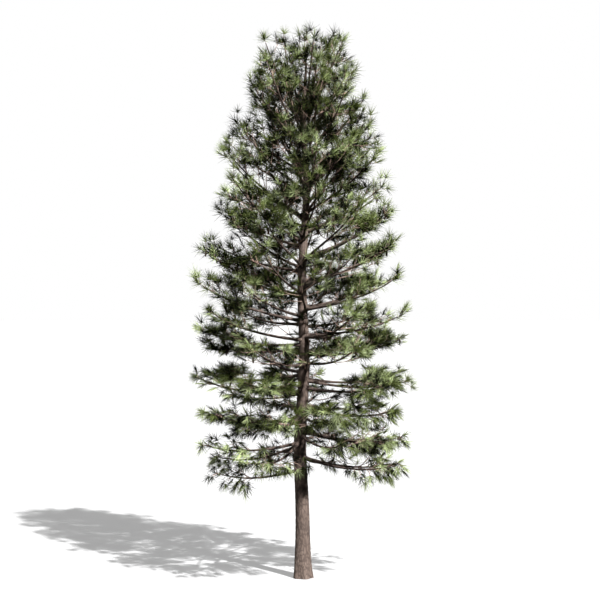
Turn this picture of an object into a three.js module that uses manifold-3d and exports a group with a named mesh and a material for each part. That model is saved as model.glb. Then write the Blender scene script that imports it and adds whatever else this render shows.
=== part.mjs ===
// A long-needled pine, 15 m tall: one straight trunk, boughs set round it on a rising spiral, and masses of
// needle sprays. The trunk is whole from its flat cut at ground level to its tip. The main boughs are bare
// limbs that end where their foliage starts. Each mass of foliage is one solid: a stem, twigs that branch
// from it by a seeded rule, a spray of needles on each twig, and a hanging cone on some of them.
import * as THREE from "three";
import { mergeVertices } from "three/addons/utils/BufferGeometryUtils.js";
import Module from "manifold-3d";

const wasm = await Module();
wasm.setup();

// Sizes are in millimetres and angles in degrees. +Z is up, and the origin is the middle of the ground cut.
const TREE_HEIGHT = 15000;
const GAP = 0.3;

// Trunk: its taper, its flare into the roots, and the slight sway and lean of its centre line.
const TRUNK_TIP_Z = TREE_HEIGHT - 1150;
const TRUNK_TAPER_Z = 14600;
const TRUNK_RADIUS = 186;
const TRUNK_TAPER_POWER = 0.62;
const FLARE_RADIUS = 66;
const FLARE_HEIGHT = 560;
const BUTTRESSES = 5;
const BUTTRESS_SHARE = 0.09;
const BUTTRESS_HEIGHT = 420;
const SWAY_SIZE = 45;
const SWAY_LENGTH = 4650;
const SWAY_TROUGH_Z = 3500;
const SWAY_LAG = 1;
const LEAN_PER_MM = 0.0125;
const LEAN_PIVOT_Z = 6600;
const TRUNK_SIDES = 14;
const TRUNK_RINGS = 20;
const TRUNK_RING_CROWDING = 1.25;

// Crown: the radius that the furthest sprays reach at each height, under a dome and tucked in at its foot.
const CROWN_RADIUS = 3230;
const CROWN_WIDEST_Z = 4900;
const CROWN_SPAN = 10600;
const CROWN_DOME_CURVE = 1.3;
const CROWN_DOME_POWER = 0.5;
const CROWN_TUCK = 0.1;
const CROWN_TUCK_HEIGHT = 2400;

// Limbs: how they are set round the trunk, how they leave it and how they turn up.
const LIMBS = 39;
const FIRST_LIMB_Z = 3000;
const LAST_LIMB_Z = 12750;
const LIMB_Z_JITTER = 160;
const FIRST_HEADING = 195;
const SPIRAL_TURN = 137.5;
const HEADING_JITTER = 26;
const LOWEST_PITCH = -17;
const HIGHEST_PITCH = 53;
const PITCH_POWER = 1.35;
const PITCH_JITTER = 14;
const LOW_UPTURN = 31;
const HIGH_UPTURN = 13;
const UPTURN_POWER = 1.6;
const WANDER = 22;
const REACH_LEAST = 0.9;
const REACH_MOST = 1.03;
const INNER_LIMB_EVERY = 3;
const INNER_LIMB_REACH = 0.7;
const PATH_STEPS = 24;
const LENGTH_ROUNDS = 6;
const LIMB_THICKNESS = 0.0145;
const LIMB_TIP_RADIUS = 12;
const LIMB_TAPER_POWER = 0.85;
const BARE_BOUGHS_BELOW = 25;
const LOW_BARE_SHARE = 0.5;
const HIGH_BARE_SHARE = 0.4;
const STEM_BARE_SHARE = 0.3;
const FIRST_TWIG_PAST_BOUGH = 0.06;
const BOUGH_SIDES = 6;
const STEM_SIDES = 4;
const LIMB_RINGS = 5;

// Twigs: where they stand on a stem, how they leave it and how long they are. On a spreading limb they go
// to the right, to the left and up in turn, and on a steep one they go all round.
const TWIGS = 7;
const LAST_TWIG_AT = 0.82;
const STEEP_LIMBS_FROM = 29;
const TWIG_SWING = 60;
const TWIG_SWING_AT_TIP = 44;
const TWIG_SWING_JITTER = 14;
const SIDE_TWIG_LIFT = 14;
const UP_TWIG_SWING = 0.85;
const UP_TWIG_REACH = 0.62;
const TWIG_ROUND_JITTER = 34;
const TWIG_REACH = 1050;
const TWIG_REACH_AT_TIP = 0.5;
const TWIG_REACH_JITTER = 0.3;
const SHORT_LIMB = 1100;
const LONG_LIMB = 2600;
const SHORT_LIMB_TWIG_REACH = 0.5;
const TWIG_ROOT_SHARE = 0.55;
const TWIG_TIP_RADIUS = 7;
const END_TWIG_AT = 0.98;
const END_TWIG_REACH = 240;
const SPACE_SAMPLES = 7;

// Needle sprays: a small bulb at a twig's end, with needles that stand out of it all round and ahead.
const SPRAY_REACH = 360;
const SPRAY_BULB = 60;
const SPRAY_BULB_RADIUS = 58;
const WIDE_OPENING = 78;
const NARROW_OPENING = 46;

// Cones hang from one twig in the foliage of each main bough.
const CONE_LENGTH = 190;
const CONE_RADIUS = 30;
const CONE_SIDES = 5;
const CONE_TWIG = 5;
const CONE_TWIG_SHARE = 0.8;

// Leader: the shoot that carries on from the trunk's tip and leans over to the top of the tree.
const LEADER_LENGTH = 480;
const LEADER_HEADING = 178;
const LEADER_END_PITCH = 58;
const LEADER_BARE_SHARE = 0.15;

// Seeds, and the smallest volume and distance that count.
const SEED = 7859;
const LIMB_SEED_STEP = 97;
const TWIG_SEED = SEED + 5000;
const TWIG_SEED_STEP = 131;
const SCRAP_VOLUME = 1;
const CLEARANCE = 1;

// A seeded draw: each call gives the next fraction from 0 to 1. The first few are alike, so they are passed.
function seeded(seed) {
  let state = seed;
  const next = () => {
    state = (state * 1664525 + 1013904223) % 4294967296;
    return state / 4294967296;
  };
  for (let passed = 0; passed < 4; passed++) next();
  return next;
}

const lerp = (a, b, t) => a + (b - a) * t;
const radians = THREE.MathUtils.degToRad;

// The unit vector that points along a heading round +Z and a pitch above the horizon.
function toward(heading, pitch) {
  const flat = Math.cos(radians(pitch));
  return new THREE.Vector3(
    flat * Math.cos(radians(heading)),
    flat * Math.sin(radians(heading)),
    Math.sin(radians(pitch)),
  );
}

// The level direction across a way, and the one that rises square to both.
function frameOf(way) {
  const across = new THREE.Vector3(-way.y, way.x, 0).normalize();
  return { across, over: new THREE.Vector3().crossVectors(way, across) };
}

// Skins

// Joins rings of vertices into triangles and closes both ends with a fan.
function ringTriangles(rings, sides) {
  const triangles = [];
  for (let ring = 0; ring < rings; ring++) {
    for (let side = 0; side < sides; side++) {
      const a = ring * sides + side;
      const b = ring * sides + ((side + 1) % sides);
      triangles.push(a, b, b + sides, a, b + sides, a + sides);
    }
  }
  const last = rings * sides;
  for (let side = 1; side < sides - 1; side++) {
    triangles.push(0, side + 1, side, last, last + side, last + side + 1);
  }
  return triangles;
}

function indexed(positions, triangles) {
  const geometry = new THREE.BufferGeometry();
  geometry.setAttribute("position", new THREE.Float32BufferAttribute(positions, 3));
  geometry.setIndex(triangles);
  return geometry;
}

// Solids

function solidOf(geometry) {
  const bare = geometry.clone();
  bare.deleteAttribute("normal");
  bare.deleteAttribute("uv");
  const merged = mergeVertices(bare, 1e-3);
  return new wasm.Manifold(
    new wasm.Mesh({
      numProp: 3,
      vertProperties: new Float32Array(merged.attributes.position.array),
      triVerts: new Uint32Array(merged.index.array),
    }),
  );
}

function geometryOf(solid) {
  const mesh = solid.getMesh();
  const positions = [];
  for (let vertex = 0; vertex < mesh.numVert; vertex++) {
    const start = vertex * mesh.numProp;
    positions.push(...mesh.vertProperties.subarray(start, start + 3));
  }
  return indexed(positions, Array.from(mesh.triVerts));
}

// The largest closed body of a fused solid. Sealed hollows are bodies of negative volume, so they drop out
// and are filled, and so do loose scraps.
function soundBody(solid) {
  const bodies = solid.decompose().filter((body) => body.volume() > SCRAP_VOLUME);
  return bodies.reduce((best, body) => (body.volume() > best.volume() ? body : best));
}

// Trunk

function trunkRadius(z) {
  const taper = Math.max(0, 1 - z / TRUNK_TAPER_Z) ** TRUNK_TAPER_POWER;
  return TRUNK_RADIUS * taper + FLARE_RADIUS * Math.exp(-z / FLARE_HEIGHT);
}

function trunkCentre(z) {
  const ease = Math.min(1, z / SWAY_TROUGH_Z);
  const turn = (2 * Math.PI * (z - SWAY_TROUGH_Z)) / SWAY_LENGTH;
  const lean = LEAN_PER_MM * (z - LEAN_PIVOT_Z);
  return new THREE.Vector3(
    ease * (lean - SWAY_SIZE * Math.cos(turn)),
    ease * SWAY_SIZE * Math.sin(turn + SWAY_LAG),
    z,
  );
}

// The trunk grown outwards by a margin. Its rings are closer together in the flare.
function trunkSolid(margin) {
  const positions = [];
  for (let ring = 0; ring <= TRUNK_RINGS; ring++) {
    const z = TRUNK_TIP_Z * (ring / TRUNK_RINGS) ** TRUNK_RING_CROWDING;
    const centre = trunkCentre(z);
    for (let side = 0; side < TRUNK_SIDES; side++) {
      const angle = (2 * Math.PI * side) / TRUNK_SIDES;
      const buttress = Math.cos(BUTTRESSES * angle) * Math.exp(-z / BUTTRESS_HEIGHT);
      const radius = trunkRadius(z) * (1 + BUTTRESS_SHARE * buttress) + margin;
      positions.push(centre.x + radius * Math.cos(angle), centre.y + radius * Math.sin(angle), z);
    }
  }
  return solidOf(indexed(positions, ringTriangles(TRUNK_RINGS, TRUNK_SIDES)));
}

// Limbs

function crownRadius(z) {
  if (z < CROWN_WIDEST_Z) {
    return CROWN_RADIUS * (1 - CROWN_TUCK * ((CROWN_WIDEST_Z - z) / CROWN_TUCK_HEIGHT) ** 2);
  }
  const rise = Math.min(1, (z - CROWN_WIDEST_Z) / CROWN_SPAN);
  return CROWN_RADIUS * (1 - rise ** CROWN_DOME_CURVE) ** CROWN_DOME_POWER;
}

// Walks a limb's centre line from the trunk's centre, turning up as it goes.
function walkLimb(limb) {
  const points = [trunkCentre(limb.foot)];
  for (let step = 0; step < PATH_STEPS; step++) {
    const along = (step + 0.5) / PATH_STEPS;
    const pitch = lerp(limb.startPitch, limb.endPitch, along ** UPTURN_POWER);
    const heading = limb.heading + limb.wander * Math.sin(2 * Math.PI * (along + limb.phase));
    const stride = toward(heading, pitch).multiplyScalar(limb.length / PATH_STEPS);
    points.push(points.at(-1).clone().add(stride));
  }
  return points;
}

// The point at a share of a path's length, and the way that the path runs there.
function pathAt(path, share) {
  const place = share * (path.length - 1);
  const index = Math.min(path.length - 2, Math.floor(place));
  const point = path[index].clone().lerp(path[index + 1], place - index);
  const way = path[index + 1].clone().sub(path[index]).normalize();
  return { point, way };
}

// One limb of the spiral. Its length is found in a few rounds, so that its sprays end on the crown's outline.
function makeLimb(index) {
  const draw = seeded(SEED + LIMB_SEED_STEP * index);
  const rise = index / (LIMBS - 1);
  const low = index < BARE_BOUGHS_BELOW;
  const inner = low && index % INNER_LIMB_EVERY === INNER_LIMB_EVERY - 1;
  const limb = {
    index,
    bare: low && !inner,
    steep: index >= STEEP_LIMBS_FROM,
    foot: lerp(FIRST_LIMB_Z, LAST_LIMB_Z, rise) + LIMB_Z_JITTER * (draw() - 0.5),
    heading: FIRST_HEADING + SPIRAL_TURN * index + HEADING_JITTER * (draw() - 0.5),
    startPitch: lerp(LOWEST_PITCH, HIGHEST_PITCH, rise ** PITCH_POWER) + PITCH_JITTER * (draw() - 0.5),
    wander: WANDER * (draw() - 0.5),
    phase: draw(),
  };
  limb.length = crownRadius(limb.foot);
  limb.endPitch = limb.startPitch + lerp(LOW_UPTURN, HIGH_UPTURN, rise);
  const reach = lerp(REACH_LEAST, REACH_MOST, draw()) * (inner ? INNER_LIMB_REACH : 1);
  for (let round = 0; round < LENGTH_ROUNDS; round++) {
    const tip = walkLimb(limb).at(-1);
    const wanted = reach * crownRadius(tip.z) - SPRAY_REACH * Math.cos(radians(limb.endPitch));
    limb.length *= Math.sqrt(wanted / Math.hypot(tip.x, tip.y));
  }
  limb.path = walkLimb(limb);
  limb.radius = LIMB_THICKNESS * limb.length;
  limb.bareShare = limb.bare ? lerp(LOW_BARE_SHARE, HIGH_BARE_SHARE, index / BARE_BOUGHS_BELOW) : 0;
  limb.leafyFrom = limb.bare ? limb.bareShare + FIRST_TWIG_PAST_BOUGH : STEM_BARE_SHARE;
  return limb;
}

// The leader starts upright, just above the trunk's tip, and leans over as it rises.
function makeLeader() {
  const leader = {
    index: LIMBS,
    bare: false,
    steep: true,
    foot: TRUNK_TIP_Z + GAP,
    heading: LEADER_HEADING,
    startPitch: 90,
    endPitch: LEADER_END_PITCH,
    wander: 0,
    phase: 0,
    length: LEADER_LENGTH,
    radius: trunkRadius(TRUNK_TIP_Z),
    leafyFrom: LEADER_BARE_SHARE,
  };
  leader.path = walkLimb(leader);
  return leader;
}

function limbRadius(limb, share) {
  return lerp(limb.radius, LIMB_TIP_RADIUS, share ** LIMB_TAPER_POWER);
}

// The stretch of a limb between two shares of its length. Its first ring may be moved a little way ahead.
function stretchOf(limb, from, to, sides, ahead = 0) {
  const positions = [];
  for (let ring = 0; ring <= LIMB_RINGS; ring++) {
    const share = lerp(from, to, ring / LIMB_RINGS);
    const { point, way } = pathAt(limb.path, share);
    const { across, over } = frameOf(way);
    const radius = limbRadius(limb, share);
    if (ring === 0) point.addScaledVector(way, ahead);
    for (let side = 0; side < sides; side++) {
      const angle = (2 * Math.PI * (side + 0.5)) / sides;
      const spot = point
        .clone()
        .addScaledVector(across, radius * Math.cos(angle))
        .addScaledVector(over, radius * Math.sin(angle));
      positions.push(spot.x, spot.y, spot.z);
    }
  }
  return solidOf(indexed(positions, ringTriangles(LIMB_RINGS, sides)));
}

// Twigs, sprays and cones

// A twig with its spray, pointing along +Z, as one closed skin: a three-sided twig, a bulb of two rings at
// its end, and a needle raised on each face of the bulb, the widest-open ones nearest the twig.
function twigGeometry(twig) {
  const ringHeights = [0, twig.reach, twig.reach + SPRAY_BULB];
  const ringRadii = [twig.radius, TWIG_TIP_RADIUS, SPRAY_BULB_RADIUS];
  const ringTurns = [0, 0, Math.PI / 3];
  const positions = [];
  ringHeights.forEach((height, ring) => {
    for (let side = 0; side < 3; side++) {
      const angle = twig.roll + ringTurns[ring] + (2 * Math.PI * side) / 3;
      positions.push(ringRadii[ring] * Math.cos(angle), ringRadii[ring] * Math.sin(angle), height);
    }
  });
  const triangles = [0, 2, 1];
  const raiseNeedle = (a, b, c, angle, opening) => {
    const tip = positions.length / 3;
    const out = SPRAY_REACH * Math.sin(radians(opening));
    const ahead = twig.reach + SPRAY_BULB / 2 + SPRAY_REACH * Math.cos(radians(opening));
    positions.push(out * Math.cos(angle), out * Math.sin(angle), ahead);
    triangles.push(a, b, tip, b, c, tip, c, a, tip);
  };
  for (let side = 0; side < 3; side++) {
    const next = (side + 1) % 3;
    const angle = twig.roll + (2 * Math.PI * side) / 3 + Math.PI / 3;
    triangles.push(side, next, 3 + next, side, 3 + next, 3 + side);
    raiseNeedle(3 + side, 3 + next, 6 + side, angle, WIDE_OPENING);
    raiseNeedle(3 + next, 6 + next, 6 + side, angle + Math.PI / 3, NARROW_OPENING);
  }
  raiseNeedle(6, 7, 8, twig.roll, 0);
  return indexed(positions, triangles);
}

// A twig with its spray, set at its root and pointing along its way.
function twigSolid(twig) {
  const turn = new THREE.Quaternion().setFromUnitVectors(new THREE.Vector3(0, 0, 1), twig.way);
  const geometry = twigGeometry(twig).applyQuaternion(turn);
  return solidOf(geometry.translate(twig.root.x, twig.root.y, twig.root.z));
}

// A cone hangs down from its stalk's point, widest in its upper half.
function coneSolid(point) {
  const outline = [
    [0, -1],
    [0.62, -0.8],
    [1, -0.35],
    [0.75, -0.1],
    [0, 0],
  ].map(([across, down]) => new THREE.Vector2(across * CONE_RADIUS, down * CONE_LENGTH));
  const cone = new THREE.LatheGeometry(outline, CONE_SIDES).rotateX(Math.PI / 2);
  return solidOf(cone.translate(point.x, point.y, point.z));
}

// How long a limb's first twigs are. Short limbs have shorter ones.
function twigReachOf(limb) {
  const size = THREE.MathUtils.clamp((limb.length - SHORT_LIMB) / (LONG_LIMB - SHORT_LIMB), 0, 1);
  return TWIG_REACH * lerp(SHORT_LIMB_TWIG_REACH, 1, size);
}

// The twigs of a limb, each with its root, its way, its reach, its radius and how its spray is rolled.
function twigsOf(limb) {
  const draw = seeded(TWIG_SEED + TWIG_SEED_STEP * limb.index);
  const twigs = [];
  for (let order = 0; order < TWIGS; order++) {
    const along = order / (TWIGS - 1);
    const share = lerp(limb.leafyFrom, LAST_TWIG_AT, along);
    const { point, way } = pathAt(limb.path, share);
    const { across, over } = frameOf(way);
    const upright = !limb.steep && order % 3 === 2;
    const rightOrLeft = order % 3 === 0 ? SIDE_TWIG_LIFT : 180 - SIDE_TWIG_LIFT;
    const about = limb.steep ? SPIRAL_TURN * order : upright ? 90 : rightOrLeft;
    const round = radians(about + TWIG_ROUND_JITTER * (draw() - 0.5));
    const widest = lerp(TWIG_SWING, TWIG_SWING_AT_TIP, along) + TWIG_SWING_JITTER * (draw() - 0.5);
    const swing = radians(upright ? UP_TWIG_SWING * widest : widest);
    const full = twigReachOf(limb) * lerp(1, TWIG_REACH_AT_TIP, along) * (upright ? UP_TWIG_REACH : 1);
    const reach = full * (1 + TWIG_REACH_JITTER * (draw() - 0.5));
    const roll = 2 * Math.PI * draw();
    const twigWay = way
      .clone()
      .multiplyScalar(Math.cos(swing))
      .addScaledVector(across, Math.sin(swing) * Math.cos(round))
      .addScaledVector(over, Math.sin(swing) * Math.sin(round));
    const radius = TWIG_ROOT_SHARE * limbRadius(limb, share);
    twigs.push({ order, root: point, way: twigWay, reach, radius, roll });
  }
  return twigs;
}

// The twig that carries a limb on past its tip.
function endTwigOf(limb) {
  const { point, way } = pathAt(limb.path, END_TWIG_AT);
  const radius = TWIG_ROOT_SHARE * limbRadius(limb, 1);
  return { root: point, way, reach: END_TWIG_REACH, radius, roll: 2 * Math.PI * limb.phase };
}

// Foliage

// How near a point is to the leafy stretch of a limb.
function distanceToLeaves(limb, point) {
  let least = Infinity;
  for (let sample = 0; sample < SPACE_SAMPLES; sample++) {
    const share = lerp(limb.leafyFrom, 1, sample / (SPACE_SAMPLES - 1));
    least = Math.min(least, pathAt(limb.path, share).point.distanceTo(point));
  }
  return least;
}

// A point is in a limb's own space when no other limb's leafy stretch is nearer.
function inOwnSpace(limb, point) {
  const own = distanceToLeaves(limb, point);
  return limbs.every((other) => other === limb || distanceToLeaves(other, point) > own);
}

// Everything that stands already, for the test that a new twig keeps clear of it.
const standing = [];
function stand(owner, solid) {
  standing.push({ owner, solid, box: solid.boundingBox() });
}

function boxesMeet(a, b) {
  return [0, 1, 2].every((i) => a.min[i] <= b.max[i] + CLEARANCE && b.min[i] <= a.max[i] + CLEARANCE);
}

function isClear(owner, solid) {
  const box = solid.boundingBox();
  const near = standing.filter((other) => other.owner !== owner && boxesMeet(box, other.box));
  return near.every((other) => other.solid.minGap(solid, CLEARANCE) >= CLEARANCE);
}

// Grows a limb's foliage on its stem, leaving out each twig that leaves its space or touches what stands.
function growMass(limb, stem) {
  let mass = stem;
  for (const twig of twigsOf(limb)) {
    const heart = twig.root.clone().addScaledVector(twig.way, twig.reach + SPRAY_REACH / 2);
    if (!inOwnSpace(limb, heart)) continue;
    let grown = twigSolid(twig);
    if (limb.bare && twig.order === CONE_TWIG) {
      const stalk = twig.root.clone().addScaledVector(twig.way, twig.reach * CONE_TWIG_SHARE);
      grown = grown.add(coneSolid(stalk));
    }
    if (isClear(limb, grown)) mass = mass.add(grown);
  }
  const end = twigSolid(endTwigOf(limb));
  if (isClear(limb, end)) mass = mass.add(end);
  return soundBody(mass);
}

// Materials

const bark = new THREE.MeshStandardMaterial({ color: 0x7f6e64, roughness: 0.92, metalness: 0 });
const boughBark = new THREE.MeshStandardMaterial({ color: 0x6b5548, roughness: 0.9, metalness: 0 });
const needles = new THREE.MeshStandardMaterial({ color: 0x56693a, roughness: 0.62, metalness: 0 });

// Assembly

const tree = new THREE.Group();
function place(name, solid, material) {
  const mesh = new THREE.Mesh(geometryOf(solid), material);
  mesh.name = name;
  tree.add(mesh);
}
const numbered = (name, limb) => `${name}_${String(limb.index + 1).padStart(2, "0")}`;

const trunk = trunkSolid(0);
const trunkRoom = trunkSolid(GAP);
place("trunk", trunk, bark);
stand("trunk", trunk);

const leader = makeLeader();
const limbs = [...Array.from({ length: LIMBS }, (_, index) => makeLimb(index)), leader];

// A bough reaches from the trunk to its foliage, whose stem goes on from its tip. Other stems start at the
// trunk, and the leader's at the trunk's tip.
const stems = new Map();
for (const limb of limbs) {
  if (limb.bare) {
    const bough = soundBody(stretchOf(limb, 0, limb.bareShare, BOUGH_SIDES).subtract(trunkRoom));
    place(numbered("bough", limb), bough, boughBark);
    stand("bough", bough);
    stems.set(limb, stretchOf(limb, limb.bareShare, 1, STEM_SIDES, GAP));
  } else {
    const stem = stretchOf(limb, 0, 1, STEM_SIDES);
    stems.set(limb, limb === leader ? stem : soundBody(stem.subtract(trunkRoom)));
  }
  stand(limb, stems.get(limb));
}

for (const limb of limbs) {
  const mass = growMass(limb, stems.get(limb));
  place(numbered("foliage", limb), mass, needles);
  stand(limb, mass);
}

export default tree;
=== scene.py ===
# A long-needled pine, 15 m tall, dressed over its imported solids: a trunk with plated bark, boughs that rise
# round it, and twigs, needles and cones that grow on from the boughs by the rule that shaped the solids.
import math

import bpy
import numpy as np
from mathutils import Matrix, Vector, noise


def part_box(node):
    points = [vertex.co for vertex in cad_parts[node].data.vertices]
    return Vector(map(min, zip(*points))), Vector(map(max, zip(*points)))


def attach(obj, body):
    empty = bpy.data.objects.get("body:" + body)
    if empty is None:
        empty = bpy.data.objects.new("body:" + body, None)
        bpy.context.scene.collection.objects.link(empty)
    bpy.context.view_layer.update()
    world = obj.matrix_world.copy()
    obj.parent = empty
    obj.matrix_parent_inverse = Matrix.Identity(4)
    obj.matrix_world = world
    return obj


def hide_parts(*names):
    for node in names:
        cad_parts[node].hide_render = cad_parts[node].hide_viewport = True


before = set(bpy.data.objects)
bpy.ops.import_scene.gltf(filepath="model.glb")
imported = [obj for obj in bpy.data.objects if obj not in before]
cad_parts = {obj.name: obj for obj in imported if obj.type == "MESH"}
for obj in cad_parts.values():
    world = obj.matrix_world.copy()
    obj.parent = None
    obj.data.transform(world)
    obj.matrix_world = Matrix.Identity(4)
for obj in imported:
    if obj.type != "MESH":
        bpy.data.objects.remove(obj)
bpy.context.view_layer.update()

# Trunk
# The stem: a nearly straight bole of solid wood under thick bark, broken into tall plates with dark furrows
# between them. It flares into five low buttresses where the roots start, and ends in a thin tip.
TRUNK_TIP_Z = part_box("trunk")[1].z
TRUNK_TAPER_Z = 14.6
TRUNK_RADIUS = 0.186
TRUNK_TAPER_POWER = 0.62
FLARE_RADIUS = 0.066
FLARE_HEIGHT = 0.56
BUTTRESSES = 5
BUTTRESS_SHARE = 0.09
BUTTRESS_HEIGHT = 0.42
SWAY_SIZE = 0.045
SWAY_LENGTH = 4.65
SWAY_TROUGH_Z = 3.5
SWAY_LAG = 1
LEAN = 0.0125
LEAN_PIVOT_Z = 6.6

# The mesh, and the bark in it.
TRUNK_SIDES = 24
TRUNK_RINGS = 130
TRUNK_RING_CROWDING = 1.25
TRUNK_ROUNDINGS = 2
PLATE_WIDTH = 0.07
PLATE_SHARE_AT_TOP = 0.55
PLATE_STRETCH = 2.8
PLATE_WARP = 0.35
PLATE_WARP_PITCH = 1.7
FURROW_WIDTH = 0.26
FURROW_CURVE = 0.7
BARK_RISE = 0.11
FURROW_DEPTH = 0.03
FLAKE_SIZE = 0.035
FLAKE_DEPTH = 0.012
BARK_SEED = 41
FIBRE_FINENESS = 7
PLATE_SHADES = (
    (0.3, (0.112, 0.081, 0.066)),
    (0.5, (0.138, 0.102, 0.084)),
    (0.7, (0.168, 0.127, 0.106)),
)
FURROW_SHADE = (0.068, 0.049, 0.041, 1)


def lerp(a, b, t):
    return a + (b - a) * t


def trunk_radius(z):
    taper = max(0, 1 - z / TRUNK_TAPER_Z) ** TRUNK_TAPER_POWER
    return TRUNK_RADIUS * taper + FLARE_RADIUS * math.exp(-z / FLARE_HEIGHT)


def trunk_centre(z):
    ease = min(1, z / SWAY_TROUGH_Z)
    turn = 2 * math.pi * (z - SWAY_TROUGH_Z) / SWAY_LENGTH
    lean = LEAN * (z - LEAN_PIVOT_Z)
    across = ease * (lean - SWAY_SIZE * math.cos(turn))
    return np.array([across, ease * SWAY_SIZE * math.sin(turn + SWAY_LAG), z])


def select_only(piece):
    bpy.ops.object.select_all(action="DESELECT")
    piece.select_set(True)
    bpy.context.view_layer.objects.active = piece


def apply_modifiers(piece):
    select_only(piece)
    for modifier in list(piece.modifiers):
        bpy.ops.object.modifier_apply(modifier=modifier.name)


# One ring is drawn at ground level and extruded up the bole, resized at each step.
bpy.ops.object.select_all(action="DESELECT")
bpy.ops.mesh.primitive_circle_add(vertices=TRUNK_SIDES, radius=trunk_radius(0))
trunk = bpy.context.object
trunk.name = "trunk_bark"
bpy.ops.object.mode_set(mode="EDIT")
bpy.ops.mesh.select_all(action="SELECT")
ring_z = [TRUNK_TIP_Z * (ring / TRUNK_RINGS) ** TRUNK_RING_CROWDING for ring in range(TRUNK_RINGS + 1)]
for below, above in zip(ring_z, ring_z[1:]):
    rise = trunk_centre(above) - trunk_centre(below)
    narrowing = trunk_radius(above) / trunk_radius(below)
    bpy.ops.mesh.extrude_region_move(TRANSFORM_OT_translate={"value": rise})
    bpy.ops.transform.resize(value=(narrowing, narrowing, 1), center_override=trunk_centre(above))
bpy.ops.object.mode_set(mode="OBJECT")
rounding = trunk.modifiers.new("rounding", "SUBSURF")
rounding.levels = TRUNK_ROUNDINGS
rounding.render_levels = TRUNK_ROUNDINGS
apply_modifiers(trunk)


def furrow_at(point, plate_width):
    """How deep in a furrow a point lies, from 0 on a plate to 1 between two."""
    spot = Vector((point.x, point.y, point.z / PLATE_STRETCH)) / plate_width
    spot += PLATE_WARP * noise.noise_vector(spot * PLATE_WARP_PITCH)
    nearest, second = noise.voronoi(spot)[0][:2]
    return max(0, 1 - (second - nearest) / FURROW_WIDTH)


# Buttresses, plates and flakes are raised in the skin, and how deep in a furrow each point lies is kept.
noise.seed_set(BARK_SEED)
depths = []
for vertex in trunk.data.vertices:
    point = vertex.co.copy()
    centre = trunk_centre(point.z)
    radius = trunk_radius(point.z)
    outward = Vector((point.x - centre[0], point.y - centre[1], 0)).normalized()
    around = math.atan2(outward.y, outward.x)
    buttress = math.cos(BUTTRESSES * around) * math.exp(-point.z / BUTTRESS_HEIGHT)
    depth = furrow_at(point, PLATE_WIDTH * lerp(1, PLATE_SHARE_AT_TOP, point.z / TRUNK_TIP_Z))
    flake = noise.noise(Vector((point.x, point.y, point.z / PLATE_STRETCH)) / FLAKE_SIZE)
    sunk = FURROW_DEPTH * depth ** FURROW_CURVE
    relief = BARK_RISE + BUTTRESS_SHARE * buttress - sunk + FLAKE_DEPTH * flake
    vertex.co = point + outward * radius * relief
    depths.append(depth)
furrow = trunk.data.attributes.new("furrow", "FLOAT", "POINT")
furrow.data.foreach_set("value", depths)

# Both ends are closed, the lower one by the flat cut.
select_only(trunk)
bpy.ops.object.mode_set(mode="EDIT")
bpy.ops.mesh.select_all(action="DESELECT")
bpy.ops.mesh.select_mode(type="EDGE")
bpy.ops.mesh.select_non_manifold()
bpy.ops.mesh.edge_face_add()
bpy.ops.mesh.select_all(action="SELECT")
bpy.ops.mesh.normals_make_consistent(inside=False)
bpy.ops.object.mode_set(mode="OBJECT")


def add_node(tree, kind, inputs=None, **settings):
    """A shader node with its settings, each input given a value or linked from another node's socket."""
    node = tree.nodes.new(kind)
    for name, value in settings.items():
        setattr(node, name, value)
    for name, value in (inputs or {}).items():
        if isinstance(value, bpy.types.NodeSocket):
            tree.links.new(value, node.inputs[name])
        else:
            node.inputs[name].default_value = value
    return node


def make_ramp(tree, factor, *stops):
    """A colour ramp through (place, colour) stops."""
    ramp = add_node(tree, "ShaderNodeValToRGB", {"Fac": factor})
    while len(ramp.color_ramp.elements) < len(stops):
        ramp.color_ramp.elements.new(1)
    for element, (place, colour) in zip(ramp.color_ramp.elements, stops):
        element.position = place
        element.color = (*colour, 1)
    return ramp.outputs["Color"]


def new_material(name):
    material = bpy.data.materials.new(name)
    material.use_nodes = True
    return material, material.node_tree, material.node_tree.nodes["Principled BSDF"]


def make_grain_group():
    """Weathered grain for all wood and bark: patches for the colour, and finer fibres for the bump."""
    group = bpy.data.node_groups.new("weathered_grain", "ShaderNodeTree")
    for name in ("Scale", "Stretch"):
        group.interface.new_socket(name, in_out="INPUT", socket_type="NodeSocketFloat")
    for name in ("Patches", "Fibres"):
        group.interface.new_socket(name, in_out="OUTPUT", socket_type="NodeSocketFloat")
    entry = group.nodes.new("NodeGroupInput")
    place = add_node(group, "ShaderNodeTexCoord").outputs["Object"]
    squeeze = add_node(group, "ShaderNodeCombineXYZ", {0: 1.0, 1: 1.0, 2: entry.outputs["Stretch"]})
    drawn = add_node(
        group, "ShaderNodeVectorMath", {0: place, 1: squeeze.outputs[0]}, operation="MULTIPLY"
    ).outputs[0]
    patches = add_node(
        group, "ShaderNodeTexNoise", {"Vector": drawn, "Scale": entry.outputs["Scale"], "Detail": 6.0}
    )
    finer = add_node(
        group, "ShaderNodeMath", {0: entry.outputs["Scale"], 1: FIBRE_FINENESS}, operation="MULTIPLY"
    )
    fibres = add_node(
        group, "ShaderNodeTexNoise", {"Vector": drawn, "Scale": finer.outputs[0], "Detail": 5.0}
    )
    leave = group.nodes.new("NodeGroupOutput")
    group.links.new(patches.outputs[0], leave.inputs["Patches"])
    group.links.new(fibres.outputs[0], leave.inputs["Fibres"])
    return group


grain_group = make_grain_group()


def mix_colours(tree, factor, a, b):
    """Colour a where the factor is 0 and colour b where it is 1. Either is a value or a socket."""
    mix = add_node(tree, "ShaderNodeMix", data_type="RGBA")
    for name, value in (("Factor_Float", factor), ("A_Color", a), ("B_Color", b)):
        socket = next(s for s in mix.inputs if s.identifier == name)
        if isinstance(value, bpy.types.NodeSocket):
            tree.links.new(value, socket)
        else:
            socket.default_value = value
    return next(s for s in mix.outputs if s.identifier == "Result_Color")


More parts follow.
